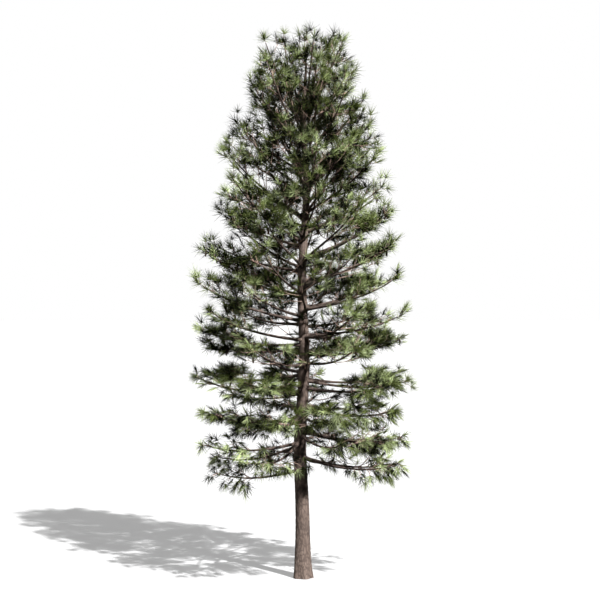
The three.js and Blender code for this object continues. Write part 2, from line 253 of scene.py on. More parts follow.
def make_wood(name, shades, scale, stretch, roughness, specular, bump=0, bump_depth=0, furrow_shade=None):
    """Wood or bark: the grain's patches colour it, its fibres raise it, and its furrows may be darker."""
    material, tree, shader = new_material(name)
    grain = add_node(tree, "ShaderNodeGroup", {"Scale": scale, "Stretch": stretch}, node_tree=grain_group)
    colour = make_ramp(tree, grain.outputs["Patches"], *shades)
    if furrow_shade:
        furrow_mask = add_node(tree, "ShaderNodeAttribute", attribute_name="furrow").outputs["Fac"]
        colour = mix_colours(tree, furrow_mask, colour, furrow_shade)
    tree.links.new(colour, shader.inputs["Base Color"])
    shader.inputs["Roughness"].default_value = roughness
    shader.inputs["Specular IOR Level"].default_value = specular
    if bump:
        inputs = {"Strength": bump, "Distance": bump_depth, "Height": grain.outputs["Fibres"]}
        raised = add_node(tree, "ShaderNodeBump", inputs)
        tree.links.new(raised.outputs["Normal"], shader.inputs["Normal"])
    return material


plated_bark = make_wood(
    "plated_pine_bark",
    PLATE_SHADES,
    scale=9,
    stretch=0.25,
    roughness=0.92,
    specular=0.25,
    bump=0.6,
    bump_depth=0.008,
    furrow_shade=FURROW_SHADE,
)
trunk.data.materials.append(plated_bark)
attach(trunk, "root")
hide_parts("trunk")

# Main limbs
# Boughs of solid wood under thin, scaly bark. They grow out of the trunk through swollen collars on a
# rising spiral, the lowest drooping or level and the upper ones steep. The leader carries the trunk on.
CROWN_RADIUS = 3.23
CROWN_WIDEST_Z = 4.9
CROWN_SPAN = 10.6
CROWN_DOME_CURVE = 1.3
CROWN_DOME_POWER = 0.5
CROWN_TUCK = 0.1
CROWN_TUCK_HEIGHT = 2.4

# The limbs on the spiral, as in the solids.
LIMBS = 39
FIRST_LIMB_Z = 3.0
LAST_LIMB_Z = 12.75
LIMB_Z_JITTER = 0.16
FIRST_HEADING = 195
SPIRAL_TURN = 137.5
HEADING_JITTER = 26
LOWEST_PITCH = -17
HIGHEST_PITCH = 53
PITCH_POWER = 1.35
PITCH_JITTER = 14
LOW_UPTURN = 31
HIGH_UPTURN = 13
UPTURN_POWER = 1.6
WANDER = 22
REACH_LEAST = 0.9
REACH_MOST = 1.03
INNER_LIMB_EVERY = 3
INNER_LIMB_REACH = 0.7
PATH_STEPS = 24
LENGTH_ROUNDS = 6
LIMB_THICKNESS = 0.0145
LIMB_TIP_RADIUS = 0.012
LIMB_TAPER_POWER = 0.85
BARE_BOUGHS_BELOW = 25
LOW_BARE_SHARE = 0.5
HIGH_BARE_SHARE = 0.4
STEM_BARE_SHARE = 0.3
FIRST_TWIG_PAST_BOUGH = 0.06
STEEP_LIMBS_FROM = 29
SPRAY_REACH = 0.36
LEADER_LENGTH = 0.48
LEADER_HEADING = 178
LEADER_END_PITCH = 58
LEADER_BARE_SHARE = 0.15

# The seeds, and the rule by which each draw follows from the last.
SEED = 7859
LIMB_SEED_STEP = 97
DRAW_FACTOR = 1664525
DRAW_STEP = 1013904223
DRAW_RANGE = 4294967296
ALIKE_DRAWS = 4

# The thinner limbs between the main ones.
BETWEEN_LIMBS = 2
FIRST_BETWEEN = 2
BETWEEN_SEED = 655
BETWEEN_THICKNESS = 0.8
BETWEEN_REACH = 1.05
BETWEEN_WIDEST = 3.17

# The skin of all limbs.
COLLAR_SWELL = 0.55
COLLAR_LENGTH = 0.07
LIMB_SEAT_DEPTH = 0.5
LIMB_SKIN_POINTS = 32
ROOT_BARK = 0.014
TIP_BARK = 0.002
MERGE_DISTANCE = 0.0001
KNOT_SIZE = 0.09
SCALE_SIZE = 0.022
RELIEF_SHARE = 0.2
LIMB_SHADES = (
    (0.32, (0.035, 0.025, 0.02)),
    (0.52, (0.078, 0.056, 0.046)),
    (0.72, (0.135, 0.1, 0.082)),
)


def seeded(seed):
    """Each call gives the next fraction from 0 to 1. The first few are alike, so they are passed."""
    state = seed

    def draw():
        nonlocal state
        state = (state * DRAW_FACTOR + DRAW_STEP) % DRAW_RANGE
        return state / DRAW_RANGE

    for passed in range(ALIKE_DRAWS):
        draw()
    return draw


def toward(heading, pitch):
    """The direction of a heading, counted from +X towards +Y, at a pitch above level."""
    flat = math.cos(math.radians(pitch))
    turn = math.radians(heading)
    return np.array([flat * math.cos(turn), flat * math.sin(turn), math.sin(math.radians(pitch))])


def crown_radius(z):
    """How far the crown reaches from its middle: tucked in below its widest height, and domed above."""
    if z < CROWN_WIDEST_Z:
        return CROWN_RADIUS * (1 - CROWN_TUCK * ((CROWN_WIDEST_Z - z) / CROWN_TUCK_HEIGHT) ** 2)
    rise = min(1, (z - CROWN_WIDEST_Z) / CROWN_SPAN)
    return CROWN_RADIUS * (1 - rise ** CROWN_DOME_CURVE) ** CROWN_DOME_POWER


def walk_limb(limb):
    """The points of a limb's centre line, from the trunk's centre, turning up as it goes."""
    points = [trunk_centre(limb["foot"])]
    for step in range(PATH_STEPS):
        along = (step + 0.5) / PATH_STEPS
        pitch = lerp(limb["start_pitch"], limb["end_pitch"], along ** UPTURN_POWER)
        heading = limb["heading"] + limb["wander"] * math.sin(2 * math.pi * (along + limb["phase"]))
        points.append(points[-1] + toward(heading, pitch) * limb["length"] / PATH_STEPS)
    return np.array(points)


def path_at(path, share):
    """The point at a share of a path's length, and the way that the path runs there."""
    place = share * (len(path) - 1)
    index = min(len(path) - 2, math.floor(place))
    stride = path[index + 1] - path[index]
    return path[index] + stride * (place - index), stride / np.linalg.norm(stride)


def make_limb(index, number, thickness=1, stretch=1, widest=CROWN_RADIUS):
    """A limb at a place on the spiral, drawn by its number, that ends at the edge of the crown."""
    draw = seeded(SEED + LIMB_SEED_STEP * number)
    rise = index / (LIMBS - 1)
    low = index < BARE_BOUGHS_BELOW
    inner = low and index % INNER_LIMB_EVERY == INNER_LIMB_EVERY - 1
    pitch = lerp(LOWEST_PITCH, HIGHEST_PITCH, rise ** PITCH_POWER)
    limb = {
        "number": number,
        "steep": index >= STEEP_LIMBS_FROM,
        "foot": lerp(FIRST_LIMB_Z, LAST_LIMB_Z, rise) + LIMB_Z_JITTER * (draw() - 0.5),
        "heading": FIRST_HEADING + SPIRAL_TURN * index + HEADING_JITTER * (draw() - 0.5),
        "start_pitch": pitch + PITCH_JITTER * (draw() - 0.5),
        "wander": WANDER * (draw() - 0.5),
        "phase": draw(),
    }
    limb["length"] = crown_radius(limb["foot"])
    limb["end_pitch"] = limb["start_pitch"] + lerp(LOW_UPTURN, HIGH_UPTURN, rise)
    reach = lerp(REACH_LEAST, REACH_MOST, draw()) * (INNER_LIMB_REACH if inner else 1)
    for fitting in range(LENGTH_ROUNDS):
        tip = walk_limb(limb)[-1]
        edge = min(widest, stretch * crown_radius(tip[2]))
        wanted = reach * edge - SPRAY_REACH * math.cos(math.radians(limb["end_pitch"]))
        limb["length"] *= math.sqrt(wanted / math.hypot(tip[0], tip[1]))
    limb["path"] = walk_limb(limb)
    limb["radius"] = LIMB_THICKNESS * limb["length"] * thickness
    bare_share = lerp(LOW_BARE_SHARE, HIGH_BARE_SHARE, index / BARE_BOUGHS_BELOW)
    limb["leafy_from"] = bare_share + FIRST_TWIG_PAST_BOUGH if low and not inner else STEM_BARE_SHARE
    return limb


def make_leader():
    leader = {
        "number": LIMBS,
        "steep": True,
        "foot": TRUNK_TIP_Z,
        "heading": LEADER_HEADING,
        "start_pitch": 90,
        "end_pitch": LEADER_END_PITCH,
        "wander": 0,
        "phase": 0,
        "length": LEADER_LENGTH,
        "radius": trunk_radius(TRUNK_TIP_Z),
        "leafy_from": LEADER_BARE_SHARE,
    }
    leader["path"] = walk_limb(leader)
    return leader


def limb_radius(limb, share):
    return lerp(limb["radius"], LIMB_TIP_RADIUS, share ** LIMB_TAPER_POWER)


# The main limbs and the leader are those of the solids. Thinner limbs stand between them by the same rule.
leader = make_leader()
main_limbs = [make_limb(index, index) for index in range(LIMBS)] + [leader]
between_limbs = []
for order in range(FIRST_BETWEEN, BETWEEN_LIMBS * (LIMBS - 1)):
    index = (order + 0.5) / BETWEEN_LIMBS
    number = BETWEEN_SEED + order
    between_limbs.append(make_limb(index, number, BETWEEN_THICKNESS, BETWEEN_REACH, BETWEEN_WIDEST))
limbs = main_limbs + between_limbs

knots = bpy.data.textures.new("knots", "CLOUDS")
knots.noise_scale = KNOT_SIZE
scales = bpy.data.textures.new("scales", "CLOUDS")
scales.noise_scale = SCALE_SIZE


def grow_wood(name, limbs, roundings):
    """One mesh of limbs: closed tubes as thick along their paths as the limbs are, knotted and scaly."""
    curve = bpy.data.curves.new(name, "CURVE")
    curve.dimensions = "3D"
    curve.bevel_depth = 1
    curve.bevel_resolution = 2
    curve.use_fill_caps = True
    for limb in limbs:
        spline = curve.splines.new("POLY")
        spline.points.add(LIMB_SKIN_POINTS - 1)
        seat = trunk_radius(limb["foot"])
        start = 0 if limb is leader else LIMB_SEAT_DEPTH * seat / limb["length"]
        for order, spot in enumerate(spline.points):
            share = lerp(start, 1, order / (LIMB_SKIN_POINTS - 1))
            past_seat = share * limb["length"] - seat
            swell = 0 if limb is leader else COLLAR_SWELL * math.exp(-max(0, past_seat) / COLLAR_LENGTH)
            spot.co = (*path_at(limb["path"], share)[0], 1)
            spot.radius = limb_radius(limb, share) * (1 + swell) + lerp(ROOT_BARK, TIP_BARK, share)
    wood = bpy.data.objects.new(name, curve)
    bpy.context.scene.collection.objects.link(wood)
    select_only(wood)
    bpy.ops.object.convert(target="MESH")
    # The end caps are joined to the walls, which closes each tube.
    bpy.ops.object.mode_set(mode="EDIT")
    bpy.ops.mesh.select_all(action="SELECT")
    bpy.ops.mesh.remove_doubles(threshold=MERGE_DISTANCE)
    bpy.ops.mesh.normals_make_consistent(inside=False)
    bpy.ops.object.mode_set(mode="OBJECT")
    if roundings:
        rounding = wood.modifiers.new("rounding", "SUBSURF")
        rounding.levels = roundings
        rounding.render_levels = roundings
    for texture in (knots, scales):
        relief = wood.modifiers.new(texture.name, "DISPLACE")
        relief.texture = texture
        relief.texture_coords = "LOCAL"
        relief.strength = RELIEF_SHARE * texture.noise_scale
        relief.mid_level = 0.5
    apply_modifiers(wood)
    bpy.ops.object.shade_smooth()
    return wood


bough_nodes = sorted(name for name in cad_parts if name.startswith("bough"))
foliage_nodes = sorted(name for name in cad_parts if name.startswith("foliage"))
limb_bark = make_wood(
    "scaly_limb_bark",
    LIMB_SHADES,
    scale=14,
    stretch=0.8,
    roughness=0.9,
    specular=0.25,
    bump=0.5,
    bump_depth=0.004,
)
for name, grown, roundings in (("limb_bark", main_limbs, 1), ("side_limb_bark", between_limbs, 0)):
    wood = grow_wood(name, grown, roundings)
    wood.data.materials.append(limb_bark)
    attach(wood, "root")
    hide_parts(*bough_nodes, *foliage_nodes)

# Twigs
# Slender shoots of pinkish-brown wood. They leave a spreading limb to its sides and upwards, or a steep one
# all round, and carry finer shoots, which leave flat gaps between the tiers and most of the stem in view.
TWIGS = 7
LAST_TWIG_AT = 0.82
TWIG_SWING = 60
TWIG_SWING_AT_TIP = 44
TWIG_SWING_JITTER = 14
SIDE_TWIG_LIFT = 14
UP_TWIG_SWING = 0.85
UP_TWIG_REACH = 0.62
TWIG_ROUND_JITTER = 34
TWIG_REACH = 1.05
TWIG_REACH_AT_TIP = 0.5
TWIG_REACH_JITTER = 0.3
SHORT_LIMB = 1.1
LONG_LIMB = 2.6
SHORT_LIMB_TWIG_REACH = 0.5
TWIG_ROOT_SHARE = 0.55
TWIG_TIP_RADIUS = 0.005
TWIG_POINTS = 8
TWIG_SIDES = 5
TWIG_SAG = 0.07
TWIG_SEED = SEED + 5000
TWIG_SEED_STEP = 131
END_TWIG_AT = 0.98
END_TWIG_REACH = 0.2
END_TUFT_LIFT = 0.25
SPACE_SAMPLES = 7
NO_LENGTH = 1e-9
NO_SLANT = 1e-4
TWIG_SHADES = (
    (0.35, (0.17, 0.11, 0.085)),
    (0.6, (0.36, 0.25, 0.2)),
)

# Thin side limbs that fill the inside of the crown.
SIDE_LIMBS = 24
SIDE_LIMBS_BELOW_TIP = 0.5
SIDE_LIMB_LIFT = 18
SIDE_LIMB_REACH = 0.42
SIDE_LIMB_LEAST = 0.7
SIDE_LIMB_MOST = 1.2
SIDE_LIMB_THICKNESS = 0.011
SIDE_LIMB_LEAST_RADIUS = 0.004
SIDE_LIMB_SHOOTS_FROM = 0.35

# The finer shoots: their places, sizes and ways.
SHOOT_SPACING = 0.036
LIMB_SHOOT_SPACING = 0.055
END_SHOOT_SPACING = 0.028
TOP_SPARSENESS = 2.1
LOWEST_SPARSENESS = 2.2
LOWEST_TIER_Z = 3.8
SHOOTS_FROM = 0.4
END_SHOOTS_FROM = 0.4
SHOOTS_TO = 0.97
SHOOT_PLACE_JITTER = 0.5
SHOOT_LENGTH = 0.36
SHOOT_LENGTH_AT_TIP = 0.18
SHOOT_LEAST = 0.7
SHOOT_MOST = 1.25
OUTER_SHOOT = 0.4
SHOOT_RADIUS = 0.0095
SHOOT_TIP_RADIUS = 0.0055
SHOOT_POINTS = 3
SHOOT_SIDES = 3
SHOOT_SWING = 48
SHOOT_SWING_AT_FOOT = 1.1
SHOOT_SWING_AT_TIP = 0.75
SHOOT_SWING_JITTER = 24
SHOOT_ROUND_JITTER = 30
SHOOT_DROOP = 0.5
SHOOT_RISE = 0.34
SHOOT_RISE_JITTER = 0.35
HANGING_HEIGHT = 4.5
LOWEST_LIFT = -0.4
LIFT = 0.25
TIER_FLATNESS = 0.12
TOP_FLATNESS = 0.8

# Where shoots are short, past the crown's edge, and where they are left out: in the sunlight on the bole,
# in gaps and pockets, and before the stem.
CROWN_EDGE = 1.05
NEEDLE_ROOM = 0.25
SUN_FROM = (0.6, -0.8)
SUN_HEIGHT = 44
SUNLIT_WIDTH = 0.4
SUNLIT_BELOW_Z = 2.1
GAP_LENGTH = 3.4
GAP_HEIGHT = 0.21
GAP_SLOPE = 0.6
GAP_LEVEL = 0.08
GAP_LEVEL_AT_TOP = 0.17
POCKET_LENGTH = 0.8
POCKET_HEIGHT = 0.13
POCKET_LEVEL = 0.16
BARE_FRONT_WIDTH = 0.26
BARE_FRONT_TO_Z = 10.5
BARE_FRONT_SHARE = 0.75


def unit(vectors):
    return vectors / np.maximum(np.linalg.norm(vectors, axis=-1, keepdims=True), NO_LENGTH)


def frames_of(ways):
    """The level direction across each way, and the one that rises square to both."""
    across = np.stack([-ways[..., 1], ways[..., 0], np.zeros(ways.shape[:-1])], axis=-1)
    upright = np.linalg.norm(across, axis=-1, keepdims=True) < NO_SLANT
    across = unit(np.where(upright, np.array([1.0, 0, 0]), across))
    return across, np.cross(ways, across)


def twig_reach_of(limb):
    """How long a limb's first twigs are. Short limbs have shorter ones."""
    size = min(1, max(0, (limb["length"] - SHORT_LIMB) / (LONG_LIMB - SHORT_LIMB)))
    return TWIG_REACH * lerp(SHORT_LIMB_TWIG_REACH, 1, size)


def twigs_of(limb):
    """The root, way, reach and root radius of each twig of a limb."""
    draw = seeded(TWIG_SEED + TWIG_SEED_STEP * limb["number"])
    twigs = []
    for order in range(TWIGS):
        along = order / (TWIGS - 1)
        share = lerp(limb["leafy_from"], LAST_TWIG_AT, along)
        root, way = path_at(limb["path"], share)
        across, over = frames_of(way)
        upright = not limb["steep"] and order % 3 == 2
        right_or_left = SIDE_TWIG_LIFT if order % 3 == 0 else 180 - SIDE_TWIG_LIFT
        about = SPIRAL_TURN * order if limb["steep"] else 90 if upright else right_or_left
        turn = math.radians(about + TWIG_ROUND_JITTER * (draw() - 0.5))
        widest = lerp(TWIG_SWING, TWIG_SWING_AT_TIP, along) + TWIG_SWING_JITTER * (draw() - 0.5)
        swing = math.radians(UP_TWIG_SWING * widest if upright else widest)
        full = twig_reach_of(limb) * lerp(1, TWIG_REACH_AT_TIP, along) * (UP_TWIG_REACH if upright else 1)
        reach = full * (1 + TWIG_REACH_JITTER * (draw() - 0.5))
        # The solids' rule draws the roll of the twig's spray here, so one draw is passed.
        draw()
        side = across * math.cos(turn) + over * math.sin(turn)
        twig_way = way * math.cos(swing) + side * math.sin(swing)
        twigs.append((root, twig_way, reach, TWIG_ROOT_SHARE * limb_radius(limb, share)))
    return twigs


def leafy_points(limb):
    """Points spread along a limb's leafy stretch."""
    shares = np.linspace(limb["leafy_from"], 1, SPACE_SAMPLES)
    return [path_at(limb["path"], share)[0] for share in shares]


leafy = np.array([leafy_points(limb) for limb in main_limbs])


def in_own_space(limb, point):
    """Whether no other main limb's leafy stretch is nearer. Thinner limbs share their neighbours' space."""
    if limb["number"] >= BETWEEN_SEED:
        return True
    nearest = np.linalg.norm(leafy - point, axis=-1).min(axis=1)
    return nearest.argmin() == limb["number"]


def bow_twig(root, way, reach):
    """A twig's points: it sags a little on its way and turns up at its end."""
    along = np.linspace(0, 1, TWIG_POINTS)[:, None]
    sag = -TWIG_SAG * reach * np.sin(math.pi * along) * (1 - abs(way[2]))
    return root + way * reach * along + np.array([0, 0, 1]) * sag


# A branch is its path, its root's radius, where its shoots start, their spacing, and if it ends a limb.
rng = np.random.default_rng(SEED)
branches = []
for limb in limbs:
    for root, way, reach, radius in twigs_of(limb):
        if in_own_space(limb, root + way * (reach + SPRAY_REACH / 2)):
            branches.append((bow_twig(root, way, reach), radius, SHOOTS_FROM, SHOOT_SPACING, False))
    root, way = path_at(limb["path"], END_TWIG_AT)
    end_twig = bow_twig(root, way, END_TWIG_REACH)
    radius = TWIG_ROOT_SHARE * LIMB_TIP_RADIUS
    branches.append((end_twig, radius, END_SHOOTS_FROM, END_SHOOT_SPACING, True))

# The side limbs leave the trunk between the boughs.
for order in range(SIDE_LIMBS):
    rise = (order + rng.random()) / SIDE_LIMBS
    foot = lerp(FIRST_LIMB_Z, TRUNK_TIP_Z - SIDE_LIMBS_BELOW_TIP, rise)
    heading = FIRST_HEADING + SPIRAL_TURN * (order + 0.5) + HEADING_JITTER * (rng.random() - 0.5)
    pitch = lerp(LOWEST_PITCH, HIGHEST_PITCH, rise) + SIDE_LIMB_LIFT + PITCH_JITTER * (rng.random() - 0.5)
    reach = SIDE_LIMB_REACH * crown_radius(foot) * lerp(SIDE_LIMB_LEAST, SIDE_LIMB_MOST, rng.random())
    side_limb = bow_twig(trunk_centre(foot), toward(heading, pitch), reach)
    radius = SIDE_LIMB_THICKNESS * reach + SIDE_LIMB_LEAST_RADIUS
    branches.append((side_limb, radius, SIDE_LIMB_SHOOTS_FROM, SHOOT_SPACING, False))

# The finer shoots of every branch, and of the leafy stretch of each limb, with a tuft at the end of each.
shoot_paths = []
tuft_ends = []
tuft_ways = []


def in_crown(point):
    """Whether a tuft there leaves the crown its outline."""
    edge = min(CROWN_EDGE * crown_radius(point[2]), CROWN_RADIUS - NEEDLE_ROOM)
    return math.hypot(point[0], point[1]) < edge


def up_crown(point):
    """From 0 among the lowest boughs, whose shoots hang, to 1 where they all turn up."""
    return min(1, max(0, (point[2] - FIRST_LIMB_Z) / HANGING_HEIGHT))


def shades_bole(point):
    """Whether something there would throw its shadow on the bare lower trunk, which stands in the sun."""
    toward_sun = point[0] * SUN_FROM[0] + point[1] * SUN_FROM[1]
    beside = abs(point[0] * SUN_FROM[1] - point[1] * SUN_FROM[0])
    fall = point[2] - toward_sun * math.tan(math.radians(SUN_HEIGHT))
    return toward_sun > 0 and beside < SUNLIT_WIDTH and fall < SUNLIT_BELOW_Z


def in_gap(point):
    """Whether the point lies in a flat gap between tiers, which rise outward, or in a smaller pocket."""
    x, y, z = point
    tier = z - GAP_SLOPE * math.hypot(x, y) * z / TRUNK_TIP_Z
    gap = noise.noise(Vector((x / GAP_LENGTH, y / GAP_LENGTH, tier / GAP_HEIGHT)))
    pocket = noise.noise(Vector((x / POCKET_LENGTH, y / POCKET_LENGTH, tier / POCKET_HEIGHT)))
    gap_level = lerp(GAP_LEVEL, GAP_LEVEL_AT_TOP, (z / TRUNK_TIP_Z) ** 3)
    return gap > gap_level or pocket > POCKET_LEVEL


def hides_stem(point):
    """Whether the point lies before the stem on the tree's thin side, where few shoots are left."""
    beside = abs(point[0] - trunk_centre(point[2])[0])
    before = point[1] < -2 * TRUNK_RADIUS and beside < BARE_FRONT_WIDTH and point[2] < BARE_FRONT_TO_Z
    return before and rng.random() < BARE_FRONT_SHARE


def grow_shoot(root, way, length, at_tip):
    """Adds a bending shoot with a tuft at its end, unless it would lie where shoots are left out."""
    along = np.linspace(0, 1, SHOOT_POINTS)[:, None]
    rise = lerp(-SHOOT_DROOP, SHOOT_RISE, up_crown(root)) + SHOOT_RISE_JITTER * (rng.random() - 0.5)
    bend = way * along + np.array([0, 0, rise]) * along ** 2
    length *= 1 if in_crown(root + length * bend[-1]) else OUTER_SHOOT
    path = root + length * bend
    end = path[-1]
    if shades_bole(end) or hides_stem(end) or (in_gap(end) and not at_tip):
        return
    shoot_paths.append(path)
    tuft_ends.append(end)
    tuft_ways.append(unit(way + np.array([0, 0, 2 * rise])))


def grow_shoots(path, length, first, spacing, at_tip=False):
    """Adds the shoots along a path, from a share of its length on, going round it as they rise."""
    spacing *= lerp(1, TOP_SPARSENESS, min(1, path[0][2] / TRUNK_TIP_Z) ** 3)
    spacing *= LOWEST_SPARSENESS if path[0][2] < LOWEST_TIER_Z else 1
    count = max(2, round(length * (1 - first) / spacing))
    turn = 360 * rng.random()
    for order in range(count):
        along = lerp(first, SHOOTS_TO, (order + SHOOT_PLACE_JITTER * rng.random()) / count)
        root, way = path_at(path, along)
        across, over = frames_of(way)
        turn += SPIRAL_TURN
        around = math.radians(turn + SHOOT_ROUND_JITTER * (rng.random() - 0.5))
        lift = lerp(LOWEST_LIFT, LIFT, up_crown(root))
        flatness = lerp(TIER_FLATNESS, TOP_FLATNESS, min(1, root[2] / TRUNK_TIP_Z))
        side = across * math.cos(around) + over * (flatness * math.sin(around) + lift)
        widest = SHOOT_SWING * lerp(SHOOT_SWING_AT_FOOT, SHOOT_SWING_AT_TIP, along)
        swing = math.radians(widest + SHOOT_SWING_JITTER * (rng.random() - 0.5))
        shoot_way = unit(way * math.cos(swing) + unit(side) * math.sin(swing))
        full = lerp(SHOOT_LENGTH, SHOOT_LENGTH_AT_TIP, along)
        grow_shoot(root, shoot_way, full * lerp(SHOOT_LEAST, SHOOT_MOST, rng.random()), at_tip)


for path, radius, first, spacing, at_tip in branches:
    length = np.linalg.norm(path[-1] - path[0])
    grow_shoots(path, length, first, spacing, at_tip)
    end = path[-1]
    if not shades_bole(end) and not hides_stem(end):
        tuft_ends.append(end)
        tuft_ways.append(unit(unit(end - path[-2]) + np.array([0, 0, END_TUFT_LIFT])))
for limb in limbs:
    grow_shoots(limb["path"], limb["length"], limb["leafy_from"], LIMB_SHOOT_SPACING)


def ring_triangles(rings, sides):
    """The triangles of a closed tube of rings of corners, with a fan over each end."""
    ring, side = np.meshgrid(np.arange(rings - 1), np.arange(sides), indexing="ij")
    a = (ring * sides + side).ravel()
    b = (ring * sides + (side + 1) % sides).ravel()
    walls = np.concatenate([np.stack([a, b, b + sides], 1), np.stack([a, b + sides, a + sides], 1)])
    fan = np.arange(1, sides - 1)
    last = (rings - 1) * sides
    near = np.stack([np.zeros_like(fan), fan + 1, fan], 1)
    far = np.stack([np.full_like(fan, last), last + fan, last + fan + 1], 1)
    return np.concatenate([walls, near, far])


def tubes(paths, radii, sides):
    """The corners and triangles of one tube along each path."""
    ways = unit(np.gradient(paths, axis=1))
    across, over = frames_of(ways)
    angle = 2 * math.pi * np.arange(sides) / sides
    round_ways = across[:, :, None] * np.cos(angle)[:, None] + over[:, :, None] * np.sin(angle)[:, None]
    corners = paths[:, :, None] + radii[:, :, None, None] * round_ways
    triangles = ring_triangles(paths.shape[1], sides)
    starts = np.arange(len(paths))[:, None, None] * paths.shape[1] * sides
    return corners.reshape(-1, 3), (starts + triangles).reshape(-1, 3)


def joined_piece(name, parts):
    """One mesh from several sets of corners and triangles."""
    starts = np.cumsum([0] + [len(corners) for corners, _ in parts])
    mesh = bpy.data.meshes.new(name)
    mesh.from_pydata(
        np.concatenate([corners for corners, _ in parts]),
        [],
        np.concatenate([triangles + start for (_, triangles), start in zip(parts, starts)]),
    )
    piece = bpy.data.objects.new(name, mesh)
    bpy.context.scene.collection.objects.link(piece)
    return piece


branch_paths = np.array([path for path, *_ in branches])
branch_radii = np.array([np.linspace(radius, TWIG_TIP_RADIUS, TWIG_POINTS) for _, radius, *_ in branches])
shoot_paths = np.array(shoot_paths)
thinning = np.linspace(SHOOT_RADIUS, SHOOT_TIP_RADIUS, SHOOT_POINTS)
shoot_radii = np.broadcast_to(thinning, shoot_paths.shape[:2])
branch_tubes = tubes(branch_paths, branch_radii, TWIG_SIDES)
shoot_tubes = tubes(shoot_paths, shoot_radii, SHOOT_SIDES)
twigs = joined_piece("twigs", [branch_tubes, shoot_tubes])
young_bark = make_wood("young_twig_bark", TWIG_SHADES, scale=20, stretch=1, roughness=0.8, specular=0.3)
twigs.data.materials.append(young_bark)
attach(twigs, "root")
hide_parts(*foliage_nodes)

# Needles
# Stiff green needles about 0.25 m long, each two crossed blades, in tufts of 21 at the ends of the shoots.
# A tuft's oldest needles stand wide open and its youngest point ahead. Each tuft has one of three greens, and
# the darkest is painted shade.
NEEDLE_LENGTH = 0.265
NEEDLE_LENGTH_JITTER = 0.3
TUFT_SIZE_JITTER = 0.3
NEEDLE_WIDTH = 0.0145
NEEDLE_TIP_WIDTH = 0.1
NEEDLE_DROOP = 0.1
NEEDLES = 21
TUFT_LENGTH_LEAST = 0.04
TUFT_LENGTH_MOST = 0.2
WIDE_OPENING = 78
NARROW_OPENING = 10
OPENING_CURVE = 1.3
OPENING_JITTER = 26
PRESSED_SHARE = 0.85
PRESSED_SHARE_AT_EDGE = 0.3
PRESSED = 0.2

# The greens, and how likely each is inside and at the edge. The near-black one is the older needles' dark
# green deepened into painted shade, so it lies mostly inside.
SHADES = {
    "old_and_shaded": (0.012, 0.015, 0.004),
    "mid": (0.14, 0.172, 0.052),
    "fresh": (0.36, 0.42, 0.205),
}
INNER_CHANCES = (0.82, 0.16, 0.02)
OUTER_CHANCES = (0.25, 0.3, 0.45)
NARROWEST_CROWN = 0.5
TINT_DRIFT = 1.6
DARK_TINT = 0.78
LIGHT_TINT = 1.22


def grow_needles(ends, ways, outward):
    """The corners and triangles of tufts at these ends. Most of the inner ones are pressed flat."""
    shape = (len(ends), NEEDLES)
    place = (np.arange(NEEDLES) + 0.5) / NEEDLES
    around = np.radians(rng.random((len(ends), 1)) * 360 + SPIRAL_TURN * np.arange(NEEDLES))
    mean_opening = lerp(WIDE_OPENING, NARROW_OPENING, place ** OPENING_CURVE)
    opening = np.radians(mean_opening + OPENING_JITTER * (rng.random(shape) - 0.5))
    rise = np.clip((ends[:, 2] - FIRST_LIMB_Z) / (TRUNK_TIP_Z - FIRST_LIMB_Z), 0, 1)
    pressed_share = lerp(PRESSED_SHARE, PRESSED_SHARE_AT_EDGE, np.maximum(rise, outward) ** 2)
    pressed = rng.random(len(ends)) < pressed_share
    across, over = frames_of(ways)
    over *= np.where(pressed, PRESSED, 1)[:, None]
    out = across[:, None] * np.cos(around)[..., None] + over[:, None] * np.sin(around)[..., None]
    way = unit(ways[:, None] * np.cos(opening)[..., None] + out * np.sin(opening)[..., None])
    size = 1 + TUFT_SIZE_JITTER * (rng.random((len(ends), 1)) - 0.5)
    length = NEEDLE_LENGTH * (size * (1 + NEEDLE_LENGTH_JITTER * (rng.random(shape) - 0.5)))[..., None]
    tuft_length = lerp(TUFT_LENGTH_LEAST, TUFT_LENGTH_MOST, rng.random((len(ends), 1)) ** 2)
    root = ends[:, None] - ways[:, None] * (tuft_length * (1 - place))[..., None]
    tip = root + way * length + np.array([0, 0, -NEEDLE_DROOP]) * length
    flat = NEEDLE_WIDTH / 2 * unit(np.cross(way, rng.standard_normal((*shape, 3))))
    corners = []
    for half in (flat, np.cross(way, flat)):
        at_tip = NEEDLE_TIP_WIDTH * half
        corners += [root - half, root + half, tip + at_tip, tip - at_tip]
    blades = np.array([[0, 1, 2], [0, 2, 3], [4, 5, 6], [4, 6, 7]])
    starts = len(corners) * np.arange(len(ends) * NEEDLES)[:, None, None]
    return np.stack(corners, axis=2).reshape(-1, 3), (starts + blades).reshape(-1, 3)


def make_needle_finish(shade, colour):
    material, tree, shader = new_material(f"{shade}_needles")
    place = add_node(tree, "ShaderNodeTexCoord").outputs["Object"]
    drift = add_node(tree, "ShaderNodeTexNoise", {"Vector": place, "Scale": TINT_DRIFT, "Detail": 3.0})
    tints = make_ramp(
        tree,
        drift.outputs[0],
        (0.35, [DARK_TINT * channel for channel in colour]),
        (0.65, [LIGHT_TINT * channel for channel in colour]),
    )
    tree.links.new(tints, shader.inputs["Base Color"])
    shader.inputs["Roughness"].default_value = 0.5
    shader.inputs["Specular IOR Level"].default_value = 0.12
    return material
